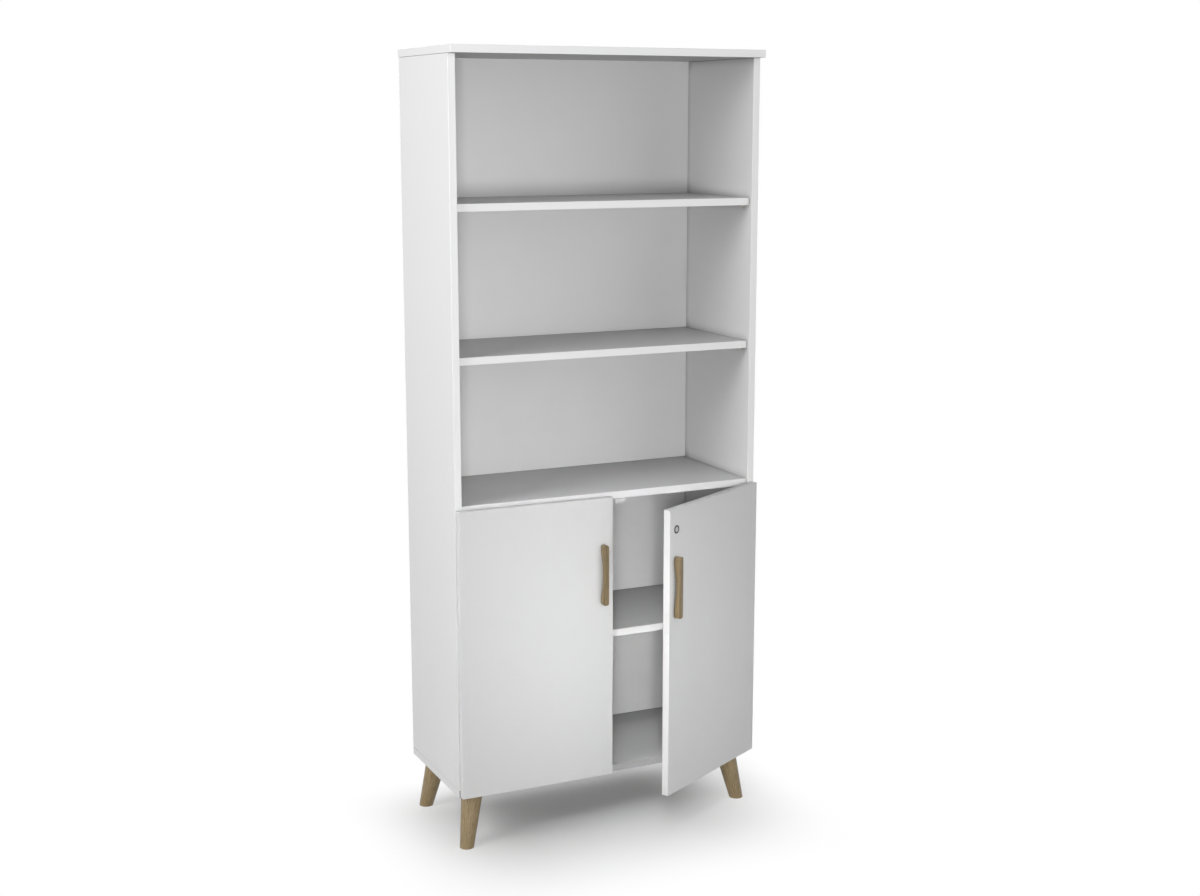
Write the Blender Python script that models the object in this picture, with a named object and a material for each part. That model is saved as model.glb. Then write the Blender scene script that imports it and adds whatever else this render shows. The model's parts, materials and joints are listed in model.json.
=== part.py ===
"""Office cabinet: three open bays over a two-door cupboard, on four splayed wooden legs.

Metres, +Z up. The front faces -Y and the floor is z = 0. Right and left are the viewer's,
seen from the front. The left door is closed and the right door stands ajar.
"""

import math

import bmesh
import bpy
from mathutils import Matrix, Vector

# Running gap kept between pieces that touch
gap = 0.0003
# How far a cutter reaches past the face that it cuts
overrun = 0.002

# Carcass boards
width = 0.800
side_depth = 0.3325
board = 0.018
back_thickness = 0.003
back_edge_inset = 0.0015
top_overhang_front = 0.0234
top_overhang_side = 0.001
edge_radius = 0.0008

# Clear height of each bay, from the bottom one up
lower_cupboard_bay = 0.330
upper_cupboard_bay = 0.330
lower_open_bay = 0.330
middle_open_bay = 0.333
top_open_bay = 0.333

# Shelves
open_shelf_setback = 0.011
fixed_shelf_setback = 0.005
cupboard_shelf_setback = 0.006
shelf_end_clearance = 0.001
shelf_rear_clearance = 0.001

# Shelf pins: a spigot in the side board and a flat spoon under the shelf
pin_radius = 0.0025
pin_depth_in_side = 0.009
pin_inset = 0.037
spoon_length = 0.010
spoon_width = 0.009
spoon_thickness = 0.0022
collar_radius = 0.004
collar_length = 0.0016

# Legs, measured at the underside of the bottom board and at the floor
leg_height = 0.136
leg_top_radius = 0.0268
leg_foot_radius = 0.0172
leg_top_inset_x = 0.050
leg_top_inset_y = 0.0435
leg_foot_inset_x = 0.025
leg_foot_inset_y = 0.0195
leg_edge_radius = 0.0012

# Hanger bolts that carry the legs
bolt_radius = 0.004
bolt_in_board = 0.0145
bolt_in_leg = 0.034
bolt_collar_radius = 0.0052
bolt_collar_length = 0.003
bolt_tip_length = 0.006
bolt_tip_radius = 0.0022

# Doors, full overlay on the sides
door_thickness = 0.018
door_gap = 0.0025
door_reveal = 0.0025
centre_gap = 0.003
door_top_overlap = 0.0105
door_bottom_lift = 0.0035
door_rest_open = math.radians(29.25)

# Handles: a flat bar whose back is arched for the fingers, deeper on the side away from the door's free edge
handle_length = 0.150
handle_width = 0.015
handle_depth = 0.017
handle_corner_radius = 0.0055
handle_edge_radius = 0.0014
handle_arch_length = 0.112
handle_arch_depth = 0.0120
handle_arch_depth_at_edge = 0.0050
handle_edge_distance = 0.018
# How far the arch's cutter reaches from the handle's centre, as a share of the handle's width
arch_reach_share = 0.6
handle_below_door_top = 0.114
handle_screw_spacing = 0.128

# Screws that hold the handles
screw_shaft_radius = 0.002
screw_length = 0.027
screw_head_radius = 0.004
screw_head_height = 0.0024
screw_slot_width = 0.0011
screw_slot_depth = 0.0012

# Hinges: a cup let into the door, and a gooseneck arm that reaches its pin from the side board
hinge_end_distance = 0.100
cup_radius = 0.0175
cup_depth = 0.0132
cup_wall = 0.0008
cup_edge_distance = 0.003
cup_lip_radius = 0.0187
cup_lip_thickness = 0.0008
wing_thickness = 0.001
wing_half_width = 0.0065
wing_offset = 0.0095
wing_dowel_spacing = 0.045
wing_overhang = 0.0065
dowel_radius = 0.004
dowel_length = 0.010
axis_edge_distance = 0.0062
axis_depth = 0.0125
hinge_pin_radius = 0.0008
hinge_pin_length = 0.0126
barrel_radius = 0.0016
neck_thickness = 0.0023
neck_inset = 0.0055
neck_half_height = 0.0045
neck_reach = 0.012
neck_bend_radius = 0.0008
arm_length = 0.046
arm_half_height = 0.0075
arm_height = 0.0068
arm_edge_radius = 0.0012
plate_thickness = 0.0026
plate_half_height = 0.025
plate_length = 0.030
plate_setback = 0.022
plate_wing_length = 0.018
plate_screw_spacing = 0.032
plate_screw_radius = 0.0038
plate_screw_height = 0.0016
arm_screw_radius = 0.0032
arm_screw_depth = 0.0012

# Cam lock in the right door, and the strike under the fixed shelf
lock_edge_distance = 0.0273
lock_below_door_top = 0.0495
lock_rim_radius = 0.010
lock_rim_height = 0.0018
lock_barrel_radius = 0.008
lock_length_behind_door = 0.0066
lock_plug_radius = 0.0062
lock_plug_recess = 0.0004
key_slot_width = 0.0013
key_slot_height = 0.0072
key_slot_depth = 0.012
lock_tang_half = 0.0026
cam_thickness = 0.002
cam_half_width = 0.0055
cam_reach = 0.035
cam_boss_radius = 0.0075
cam_screw_radius = 0.0045
cam_screw_height = 0.002
cam_screw_thread_radius = 0.0014
cam_screw_thread_length = 0.0035
lock_nut_radius = 0.0115
lock_nut_height = 0.004
strike_thickness = 0.0018
strike_lip_height = 0.012
strike_half_width = 0.014
strike_depth = 0.026
strike_hole_radius = 0.0022
strike_edge_radius = 0.0004

# Derived places, all from the driving sizes above
half_width = width / 2
inner_half = half_width - board
rear_depth = side_depth + gap + back_thickness
bottom_under = leg_height
bottom_top = bottom_under + board
cupboard_shelf_top = bottom_top + lower_cupboard_bay + board
fixed_shelf_top = cupboard_shelf_top + upper_cupboard_bay + board
middle_shelf_top = fixed_shelf_top + lower_open_bay + board
upper_shelf_top = middle_shelf_top + middle_open_bay + board
top_under = upper_shelf_top + top_open_bay
top_top = top_under + board

door_width = (width - 2 * door_reveal - centre_gap) / 2
door_top = fixed_shelf_top - board + door_top_overlap
door_bottom = bottom_under + door_bottom_lift
door_height = door_top - door_bottom
door_middle = (door_top + door_bottom) / 2
door_back = -door_gap
door_front = door_back - door_thickness
door_hinge_edge = half_width - door_reveal
axis_x = door_hinge_edge - axis_edge_distance
handle_middle = door_top - handle_below_door_top - handle_length / 2
lock_level = door_top - lock_below_door_top

# Rounded handle corner that reaches furthest forward while the door stands ajar
handle_from_axis = axis_x - (centre_gap / 2 + handle_edge_distance)
reach_x = handle_from_axis - handle_edge_radius
reach_y = axis_depth + door_front - handle_depth + handle_edge_radius
ajar_reach = -axis_depth - reach_x * math.sin(door_rest_open) + reach_y * math.cos(door_rest_open)
ajar_front = ajar_reach - handle_edge_radius
# Front plane of the carcass, placed so that the whole object is centred on y = 0
front_y = -(rear_depth + ajar_front) / 2

# Materials: colour, roughness and metallic value
finishes = {
    "white_board": ((0.78, 0.78, 0.78), 0.45, 0.0),
    "white_back": ((0.70, 0.70, 0.70), 0.55, 0.0),
    "oiled_wood": ((0.27, 0.19, 0.10), 0.55, 0.0),
    "nickel_steel": ((0.62, 0.62, 0.60), 0.30, 1.0),
    "zinc_steel": ((0.55, 0.56, 0.57), 0.42, 1.0),
}


def make_material(name):
    """Principled material of one finish."""
    colour, roughness, metallic = finishes[name]
    material = bpy.data.materials.new(name)
    material.use_nodes = True
    shader = material.node_tree.nodes["Principled BSDF"]
    shader.inputs["Base Color"].default_value = (*colour, 1.0)
    shader.inputs["Roughness"].default_value = roughness
    shader.inputs["Metallic"].default_value = metallic
    material.diffuse_color = (*colour, 1.0)
    return material


def clear_scene():
    """Removes what the scene starts with."""
    for obj in list(bpy.data.objects):
        bpy.data.objects.remove(obj, do_unlink=True)


def finish_mesh(bm, name):
    """Turns a bmesh into a named mesh with its faces pointing out."""
    bmesh.ops.recalc_face_normals(bm, faces=bm.faces)
    mesh = bpy.data.meshes.new(name)
    bm.to_mesh(mesh)
    bm.free()
    return mesh


def add_object(name, mesh, finish, place, parent=None, turn=(0.0, 0.0, 0.0)):
    """Links a mesh as a named object at its place under its parent."""
    obj = bpy.data.objects.new(name, mesh)
    bpy.context.scene.collection.objects.link(obj)
    obj.parent = parent
    obj.location = place
    obj.rotation_euler = turn
    if finish:
        mesh.materials.append(materials[finish])
    return obj


def add_empty(name, place, parent=None, angle=0.0):
    """Empty on a joint's axis, turned about +Z by an angle."""
    empty = bpy.data.objects.new(name, None)
    bpy.context.scene.collection.objects.link(empty)
    empty.parent = parent
    empty.location = place
    empty.rotation_euler = (0.0, 0.0, angle)
    return empty


def box_mesh(name, size):
    """Box of the given size, centred on its own origin."""
    bm = bmesh.new()
    bmesh.ops.create_cube(bm, size=1.0)
    bmesh.ops.scale(bm, vec=size, verts=bm.verts)
    return finish_mesh(bm, name)


def turned_mesh(name, profile, sides):
    """Solid of revolution about local Z, from (radius, height) points that start and end on the axis."""
    bm = bmesh.new()
    ring = [bm.verts.new((radius, 0.0, height)) for radius, height in profile]
    edges = [bm.edges.new(pair) for pair in zip(ring, ring[1:])]
    bmesh.ops.spin(bm, geom=ring + edges, axis=(0, 0, 1), cent=(0, 0, 0), steps=sides, angle=math.tau,
                   use_merge=True, use_duplicate=False)
    bmesh.ops.remove_doubles(bm, verts=bm.verts, dist=gap / 100)
    mesh = finish_mesh(bm, name)
    mesh.shade_smooth()
    mesh.set_sharp_from_angle(angle=math.radians(35))
    return mesh


def cylinder_profile(radius, low, high):
    """Profile of a plain cylinder between two heights."""
    return [(0.0, low), (radius, low), (radius, high), (0.0, high)]


def prism_mesh(name, outline, low, high):
    """Extrudes an outline in local X and Y between two heights."""
    bm = bmesh.new()
    face = bm.faces.new([bm.verts.new((x, y, low)) for x, y in outline])
    grown = bmesh.ops.extrude_face_region(bm, geom=[face])
    moved = [part for part in grown["geom"] if isinstance(part, bmesh.types.BMVert)]
    bmesh.ops.translate(bm, vec=(0.0, 0.0, high - low), verts=moved)
    return finish_mesh(bm, name)


def arc(centre, radius, start, end, steps):
    """Points on an arc, with angles in degrees."""
    angles = [math.radians(start + (end - start) * i / steps) for i in range(steps + 1)]
    return [(centre[0] + radius * math.cos(a), centre[1] + radius * math.sin(a)) for a in angles]


def rounded_rectangle(half_x, half_y, radius, steps):
    """Outline of a rectangle with round corners, centred on the origin."""
    x, y = half_x - radius, half_y - radius
    corners = (((x, y), 0), ((-x, y), 90), ((-x, -y), 180), ((x, -y), 270))
    return [point for centre, start in corners for point in arc(centre, radius, start, start + 90, steps)]


def bevel(obj, radius, segments=2, limit=40.0):
    """Rounds the sharp edges of an object."""
    modifier = obj.modifiers.new("edge_rounding", "BEVEL")
    modifier.width = radius
    modifier.segments = segments
    modifier.limit_method = "ANGLE"
    modifier.angle_limit = math.radians(limit)


def combine(obj, other, operation):
    """Joins another object to this one, or cuts it out, and hides the helper."""
    modifier = obj.modifiers.new(other.name, "BOOLEAN")
    modifier.operation = operation
    modifier.solver = "EXACT"
    modifier.object = other
    other.hide_render = True
    other.display_type = "WIRE"


def cut(obj, other):
    """Cuts a helper's shape out of an object."""
    combine(obj, other, "DIFFERENCE")


def join(obj, other):
    """Joins a helper's shape to an object."""
    combine(obj, other, "UNION")


def add_board(name, low, high, finish="white_board", parent=None, rounded=True):
    """Board between two corners, with its banded edges slightly rounded."""
    size = [b - a for a, b in zip(low, high)]
    place = [(a + b) / 2 for a, b in zip(low, high)]
    obj = add_object(name, box_mesh(name, size), finish, place, parent)
    if rounded:
        bevel(obj, edge_radius)
    return obj


def drill(obj, name, place, radius, low, high, parent=None, turn=(0.0, 0.0, 0.0), sides=16):
    """Cuts a round hole along the helper's local Z."""
    mesh = turned_mesh(name, cylinder_profile(radius, low, high), sides)
    cut(obj, add_object(name, mesh, None, place, parent, turn))


def pin_levels():
    """Shelves that rest on pins, with the height of their underside."""
    return {
        "upper": upper_shelf_top - board,
        "middle": middle_shelf_top - board,
        "cupboard": cupboard_shelf_top - board,
    }


def pin_rows():
    """Y of the front and rear rows of shelf pins."""
    return {"front": front_y + pin_inset, "rear": front_y + side_depth - pin_inset}


def side_signs():
    """Sign of X for each hand."""
    return {"left": -1, "right": 1}


def pin_axis_level(under):
    """Height of a pin's axis under a shelf."""
    return under - gap - spoon_thickness - pin_radius


def build_side_panels():
    """Two side boards, standing on the bottom board, drilled for the shelf pins."""
    for hand, sign in side_signs().items():
        name = hand + "_side_panel"
        outer, inner = sign * half_width, sign * inner_half
        low = (min(outer, inner), front_y, bottom_top + gap)
        high = (max(outer, inner), front_y + side_depth, top_under - gap)
        panel = add_board(name, low, high)
        for shelf, under in pin_levels().items():
            for row, y in pin_rows().items():
                hole = f"{hand}_{shelf}_{row}_pin_hole"
                place = (inner - sign * overrun, y, pin_axis_level(under))
                depth = pin_depth_in_side + gap + overrun
                turn = (0.0, sign * math.pi / 2, 0.0)
                drill(panel, hole, place, pin_radius + gap, 0.0, depth, turn=turn, sides=12)


def leg_corners():
    """Name and signs of each leg: x to the right, y to the back."""
    return {"front_left": (-1, -1), "front_right": (1, -1), "rear_left": (-1, 1), "rear_right": (1, 1)}


def leg_point(signs, inset_x, inset_y, level):
    """Point of a leg's axis, inset from the corner of the carcass."""
    middle_y = front_y + side_depth / 2
    x = signs[0] * (half_width - inset_x)
    y = middle_y + signs[1] * (side_depth / 2 - inset_y)
    return Vector((x, y, level))


def bolt_place(signs):
    """Where a leg's bolt crosses the underside of the bottom board."""
    return leg_point(signs, leg_top_inset_x, leg_top_inset_y, bottom_under)


def build_bottom_panel():
    """Bottom board, full width under the sides, with blind holes for the leg bolts."""
    panel = add_board("bottom_panel", (-half_width, front_y, bottom_under),
                      (half_width, front_y + side_depth, bottom_top))
    for corner, signs in leg_corners().items():
        drill(panel, corner + "_board_hole", bolt_place(signs), bolt_radius + gap, -overrun, bolt_in_board + gap,
              sides=12)


def build_top_panel():
    """Top board, which covers the sides and the back and overhangs the front like the doors."""
    low = (-half_width - top_overhang_side, front_y - top_overhang_front, top_under)
    high = (half_width + top_overhang_side, front_y + rear_depth, top_top)
    add_board("top_panel", low, high)


def build_back_panel():
    """Thin back, laid over the rear edges of the sides and of the bottom board."""
    half = half_width - back_edge_inset
    add_board("back_panel", (-half, front_y + side_depth + gap, bottom_under + back_edge_inset),
              (half, front_y + rear_depth, top_under - gap), finish="white_back", rounded=False)


def add_shelf(name, top, setback, end_clearance, rear_clearance):
    """Shelf between the sides, from its setback to the back panel."""
    half = inner_half - end_clearance
    rear = front_y + side_depth - rear_clearance
    return add_board(name, (-half, front_y + setback, top - board), (half, rear, top))


def build_shelves():
    """Two open shelves, the fixed shelf over the cupboard and the cupboard's own shelf."""
    loose = (shelf_end_clearance, shelf_rear_clearance)
    add_shelf("upper_shelf", upper_shelf_top, open_shelf_setback, *loose)
    add_shelf("middle_shelf", middle_shelf_top, open_shelf_setback, *loose)
    add_shelf("fixed_shelf", fixed_shelf_top, fixed_shelf_setback, gap, 0.0)
    add_shelf("cupboard_shelf", cupboard_shelf_top, cupboard_shelf_setback, *loose)


def shelf_pin_mesh(name):
    """Pin along local Z: spigot below zero, collar and spoon above it, the spoon's flat side at +Y."""
    start = -pin_depth_in_side
    profile = [(0.0, start), (pin_radius, start), (pin_radius, gap), (collar_radius, gap),
               (collar_radius, gap + collar_length), (0.0, gap + collar_length)]
    return turned_mesh(name, profile, 12)


def build_shelf_pins():
    """Four pins under each loose shelf."""
    for shelf, under in pin_levels().items():
        for hand, sign in side_signs().items():
            for row, y in pin_rows().items():
                name = f"{shelf}_{row}_{hand}_shelf_pin"
                place = (sign * inner_half, y, pin_axis_level(under))
                turn = (0.0, -sign * math.pi / 2, 0.0)
                pin = add_object(name, shelf_pin_mesh(name), "nickel_steel", place, turn=turn)
                high = pin_radius + spoon_thickness
                centre_x = sign * (inner_half - gap - (collar_length + spoon_length) / 2 - gap)
                size = (collar_length + spoon_length, spoon_width, high)
                spoon = add_object(name + "_spoon", box_mesh(name + "_spoon", size), None,
                                   (centre_x, y, place[2] + high / 2))
                join(pin, spoon)


def leg_mesh(name, signs):
    """Tapered round leg, turned on its splayed axis and sawn flat at the board and at the floor."""
    top = leg_point(signs, leg_top_inset_x, leg_top_inset_y, bottom_under - gap)
    foot = leg_point(signs, leg_foot_inset_x, leg_foot_inset_y, 0.0)
    axis = top - foot
    taper = (leg_top_radius - leg_foot_radius) / axis.length
    spare = leg_top_radius
    bm = bmesh.new()
    bmesh.ops.create_cone(bm, cap_ends=True, segments=32, radius1=leg_foot_radius - taper * spare,
                          radius2=leg_top_radius + taper * spare, depth=axis.length + 2 * spare)
    turn = Vector((0, 0, 1)).rotation_difference(axis).to_matrix().to_4x4()
    bm.transform(Matrix.Translation((top + foot) / 2 - top) @ turn)
    for level, normal in ((0.0, (0, 0, 1)), (foot.z - top.z, (0, 0, -1))):
        everything = bm.verts[:] + bm.edges[:] + bm.faces[:]
        bmesh.ops.bisect_plane(bm, geom=everything, plane_co=(0, 0, level), plane_no=normal, clear_outer=True)
        bmesh.ops.holes_fill(bm, edges=[edge for edge in bm.edges if edge.is_boundary])
    mesh = finish_mesh(bm, name)
    mesh.shade_smooth()
    mesh.set_sharp_from_angle(angle=math.radians(35))
    return mesh, top


def build_legs():
    """Four splayed legs, each drilled for its hanger bolt."""
    for corner, signs in leg_corners().items():
        name = corner + "_leg"
        mesh, top = leg_mesh(name, signs)
        leg = add_object(name, mesh, "oiled_wood", top)
        bevel(leg, leg_edge_radius)
        drill(leg, corner + "_leg_hole", bolt_place(signs), bolt_radius + gap, -bolt_in_leg - gap, overrun, sides=12)


def build_leg_bolts():
    """Hanger bolts: machine thread up into the board, wood thread with a tapered tip down into the leg."""
    tip = -bolt_in_leg
    profile = [(0.0, tip), (bolt_tip_radius, tip), (bolt_radius, tip + bolt_tip_length), (bolt_radius, bolt_in_board),
               (0.0, bolt_in_board)]
    for corner, signs in leg_corners().items():
        name = corner + "_leg_bolt"
        add_object(name, turned_mesh(name, profile, 12), "zinc_steel", bolt_place(signs))


def hinge_levels():
    """Height of the lower and upper hinge of a door."""
    return {"lower": door_bottom + hinge_end_distance, "upper": door_top - hinge_end_distance}


def cup_centre_x():
    """Distance of the cup's centre from the hinge axis, towards the free edge of the door."""
    return cup_radius + cup_edge_distance - axis_edge_distance


def door_local(sign, from_axis, y, level):
    """Point in a door's own frame: distance from the hinge axis towards the free edge, carcass Y and height."""
    return (-sign * from_axis, y + axis_depth, level)


def free_edge(sign, distance):
    """Distance from the hinge axis to a point set in from the free edge of a door."""
    return door_width - axis_edge_distance - distance


# Turns local Z to point out of a door's front
out_of_door = (math.pi / 2, 0.0, 0.0)
# Turns local Z to point into the cabinet
into_cabinet = (-math.pi / 2, 0.0, 0.0)
# Turns local X up the handle and local Y out of the door's front
along_handle = (math.pi, -math.pi / 2, 0.0)


def build_door(hand, sign, frame):
    """One door board with its holes for hinge cups, dowels, handle screws and, on the right, the lock."""
    near, far = -axis_edge_distance, free_edge(sign, 0.0)
    low = door_local(sign, far if sign > 0 else near, door_front, door_bottom)
    high = door_local(sign, near if sign > 0 else far, door_back, door_top)
    door = add_board(hand + "_door", low, high, parent=frame)
    for which, level in hinge_levels().items():
        name = f"{hand}_{which}_cup_hole"
        cup_place = door_local(sign, cup_centre_x(), door_back, level)
        drill(door, name, cup_place, cup_radius + gap, -overrun, cup_depth, frame, out_of_door, sides=24)
        for step in (-1, 1):
            place = door_local(sign, cup_centre_x() + wing_offset, door_back, level + step * wing_dowel_spacing / 2)
            drill(door, f"{name}_dowel_{step}", place, dowel_radius + gap, -overrun, dowel_length, frame,
                  out_of_door, sides=10)
    for step in (-1, 1):
        place = handle_screw_place(sign, step)
        drill(door, f"{hand}_door_screw_hole_{step}", place, screw_shaft_radius + gap, -overrun,
              door_thickness + overrun, frame, out_of_door, sides=12)
    return door


def handle_distance():
    """Distance of a handle's centre line from the free edge of its door."""
    return handle_edge_distance + handle_width / 2


def handle_screw_place(sign, step):
    """Where a handle screw crosses the back of the door."""
    level = handle_middle + step * handle_screw_spacing / 2
    return door_local(sign, free_edge(sign, handle_distance()), door_back, level)


def arch_outline(depth):
    """Arch of one depth over the handle's middle, carried on past the handle's back."""
    half = handle_arch_length / 2
    radius = (half * half + depth * depth) / (2 * depth)
    spread = math.degrees(math.acos((radius - depth - overrun) / radius))
    return arc((0.0, depth - radius), radius, 90 - spread, 90 + spread, 13)


def arch_mesh(name, sign):
    """Solid between two arches across the handle's width, the deeper one away from the free edge."""
    middle = (handle_arch_depth + handle_arch_depth_at_edge) / 2
    spread = (handle_arch_depth - handle_arch_depth_at_edge) * arch_reach_share
    reach = handle_width * arch_reach_share
    bm = bmesh.new()
    rings = []
    for side in (-1, 1):
        outline = arch_outline(middle + side * sign * spread)
        rings.append([bm.verts.new((x, y, side * reach)) for x, y in outline])
    count = len(rings[0])
    for i in range(count):
        j = (i + 1) % count
        bm.faces.new((rings[0][i], rings[0][j], rings[1][j], rings[1][i]))
    bm.faces.new(rings[0])
    bm.faces.new(rings[1])
    return finish_mesh(bm, name)


def build_handle(hand, sign, frame):
    """Wooden bar with round ends, arched at the back, with blind holes for its screws."""
    name = hand + "_handle"
    outline = rounded_rectangle(handle_width / 2, handle_length / 2, handle_corner_radius, 5)
    mesh = prism_mesh(name, outline, 0.0, handle_depth)
    place = door_local(sign, free_edge(sign, handle_distance()), door_front - gap, handle_middle)
    handle = add_object(name, mesh, "oiled_wood", place, frame, out_of_door)
    bevel(handle, handle_edge_radius, 3)
    cutter = add_object(name + "_arch", arch_mesh(name + "_arch", sign), None, place, frame, along_handle)
    cut(handle, cutter)
    for step in (-1, 1):
        hole = f"{name}_hole_{step}"
        depth_in_handle = screw_length - door_thickness
        drill(handle, hole, handle_screw_place(sign, step), screw_shaft_radius + gap, door_thickness - overrun,
              door_thickness + depth_in_handle + gap, frame, out_of_door, sides=12)


def screw_mesh(name):
    """Pan-head screw along local Z: the head below zero and the shaft above it."""
    rim = -gap - screw_head_height / 3
    profile = [(0.0, -gap - screw_head_height), (screw_head_radius * 0.7, -gap - screw_head_height),
               (screw_head_radius, rim), (screw_head_radius, -gap), (screw_shaft_radius, -gap),
               (screw_shaft_radius, screw_length), (0.0, screw_length)]
    return turned_mesh(name, profile, 16)


def build_handle_screws(hand, sign, frame):
    """Two screws through the door into each handle, with a driver slot."""
    for step, which in ((-1, "lower"), (1, "upper")):
        name = f"{hand}_handle_{which}_screw"
        place = handle_screw_place(sign, step)
        screw = add_object(name, screw_mesh(name), "zinc_steel", place, frame, out_of_door)
        size = (3 * screw_head_radius, 2 * screw_slot_depth, screw_slot_width)
        slot_place = Vector(place) + Vector((0.0, gap + screw_head_height, 0.0))
        cut(screw, add_object(name + "_slot", box_mesh(name + "_slot", size), None, slot_place, frame))


def build_hinge_cup(hand, which, sign, frame, level):
    """Pressed steel cup with a lip, two wings and a dowel under each wing."""
    name = f"{hand}_{which}_hinge_cup"
    lip = -gap - cup_lip_thickness
    depth = cup_depth - gap
    profile = [(0.0, lip), (cup_lip_radius, lip), (cup_lip_radius, -gap), (cup_radius, -gap),
               (cup_radius, depth - cup_wall), (cup_radius - cup_wall, depth), (0.0, depth)]
    place = door_local(sign, cup_centre_x(), door_back, level)
    cup = add_object(name, turned_mesh(name, profile, 24), "nickel_steel", place, frame, out_of_door)
    wing_place = door_local(sign, cup_centre_x() + wing_offset, door_back, level)
    half_height = wing_dowel_spacing / 2 + wing_overhang
    outline = rounded_rectangle(wing_half_width, half_height, wing_half_width * 0.9, 4)
    wings = add_object(name + "_wings", prism_mesh(name + "_wings", outline, -gap - wing_thickness, -gap), None,
                       wing_place, frame, out_of_door)
    join(cup, wings)
    for step in (-1, 1):
        dowel_place = door_local(sign, cup_centre_x() + wing_offset, door_back, level + step * wing_dowel_spacing / 2)
        dowel = turned_mesh(f"{name}_dowel_{step}",
                            cylinder_profile(dowel_radius, -gap - wing_thickness / 2, dowel_length - gap), 10)
        join(cup, add_object(dowel.name, dowel, None, dowel_place, frame, out_of_door))
    drill(cup, name + "_hollow", place, cup_radius - cup_wall, -overrun, depth - cup_wall, frame, out_of_door,
          sides=24)


def build_hinge_pin(hand, which, sign, frame, level):
    """Pin across the cup, on the axis of the door."""
    name = f"{hand}_{which}_hinge_pin"
    half = hinge_pin_length / 2
    add_object(name, turned_mesh(name, cylinder_profile(hinge_pin_radius, -half, half), 12), "zinc_steel",
               (0.0, 0.0, level), frame)


def neck_outline(sign):
    """Plan of the gooseneck, from the arm forward past the side board and round to the pin."""
    outer_bend = neck_bend_radius + neck_thickness
    far = inner_half - neck_inset - neck_thickness
    near = inner_half - neck_inset
    hook_back = -axis_depth + neck_thickness * 0.18
    hook_front = hook_back - neck_thickness
    points = [(far, neck_reach)]
    points += arc((far + outer_bend, hook_front + outer_bend), outer_bend, 180, 270, 4)
    points += [(axis_x, hook_front), (axis_x, hook_back)]
    points += arc((near + neck_bend_radius, hook_back + neck_bend_radius), neck_bend_radius, 270, 180, 3)
    points += [(near, neck_reach)]
    return [(sign * x, front_y + y) for x, y in points]


def build_hinge_arm(hand, which, sign, level):
    """Arm on its mounting plate, with the gooseneck and the barrel that turns on the pin."""
    name = f"{hand}_{which}_hinge_arm"
    arm_inner = inner_half - gap - plate_thickness - gap
    start = neck_reach - 2 * overrun
    size = (arm_height, arm_length, 2 * arm_half_height)
    place = (sign * (arm_inner - arm_height / 2), front_y + start + arm_length / 2, level)
    arm = add_object(name, box_mesh(name, size), "nickel_steel", place)
    bevel(arm, arm_edge_radius)
    neck = prism_mesh(name + "_neck", neck_outline(sign), -neck_half_height, neck_half_height)
    join(arm, add_object(name + "_neck", neck, None, (0.0, 0.0, level)))
    barrel = turned_mesh(name + "_barrel", cylinder_profile(barrel_radius, -neck_half_height + gap,
                                                            neck_half_height - gap), 16)
    axis_place = (sign * axis_x, front_y - axis_depth, level)
    join(arm, add_object(name + "_barrel", barrel, None, axis_place))
    drill(arm, name + "_pin_hole", axis_place, hinge_pin_radius + gap, -2 * neck_half_height, 2 * neck_half_height,
          sides=12)
    for share in (0.42, 0.80):
        screw_place = (sign * (arm_inner - arm_height), front_y + start + arm_length * share, level)
        drill(arm, f"{name}_screw_{share}", screw_place, arm_screw_radius, -arm_screw_depth, overrun,
              turn=(0.0, -sign * math.pi / 2, 0.0), sides=12)


def build_hinge_plate(hand, which, sign, level):
    """Cross-shaped mounting plate on the side board, with its two screw heads."""
    name = f"{hand}_{which}_hinge_plate"
    x = sign * (inner_half - gap - plate_thickness / 2)
    y = front_y + plate_setback + plate_length / 2
    plate = add_object(name, box_mesh(name, (plate_thickness, plate_length, 2 * arm_half_height)), "nickel_steel",
                       (x, y, level))
    outline = rounded_rectangle(plate_half_height, plate_wing_length / 2, plate_wing_length * 0.35, 4)
    wings = prism_mesh(name + "_wings", outline, -plate_thickness * 0.45, plate_thickness * 0.45)
    turn = (0.0, math.pi / 2, 0.0)
    join(plate, add_object(name + "_wings", wings, None, (x, y, level), turn=turn))
    for step in (-1, 1):
        head = turned_mesh(f"{name}_head_{step}",
                           cylinder_profile(plate_screw_radius, 0.0, plate_thickness / 2 + plate_screw_height), 12)
        head_place = (x, y, level + step * plate_screw_spacing / 2)
        join(plate, add_object(head.name, head, None, head_place, turn=(0.0, -sign * math.pi / 2, 0.0)))


def lock_place(along=0.0):
    """Point on the lock's axis in the right door's frame, measured from the front face into the cabinet."""
    return door_local(1, free_edge(1, lock_edge_distance), door_front + along, lock_level)


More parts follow.
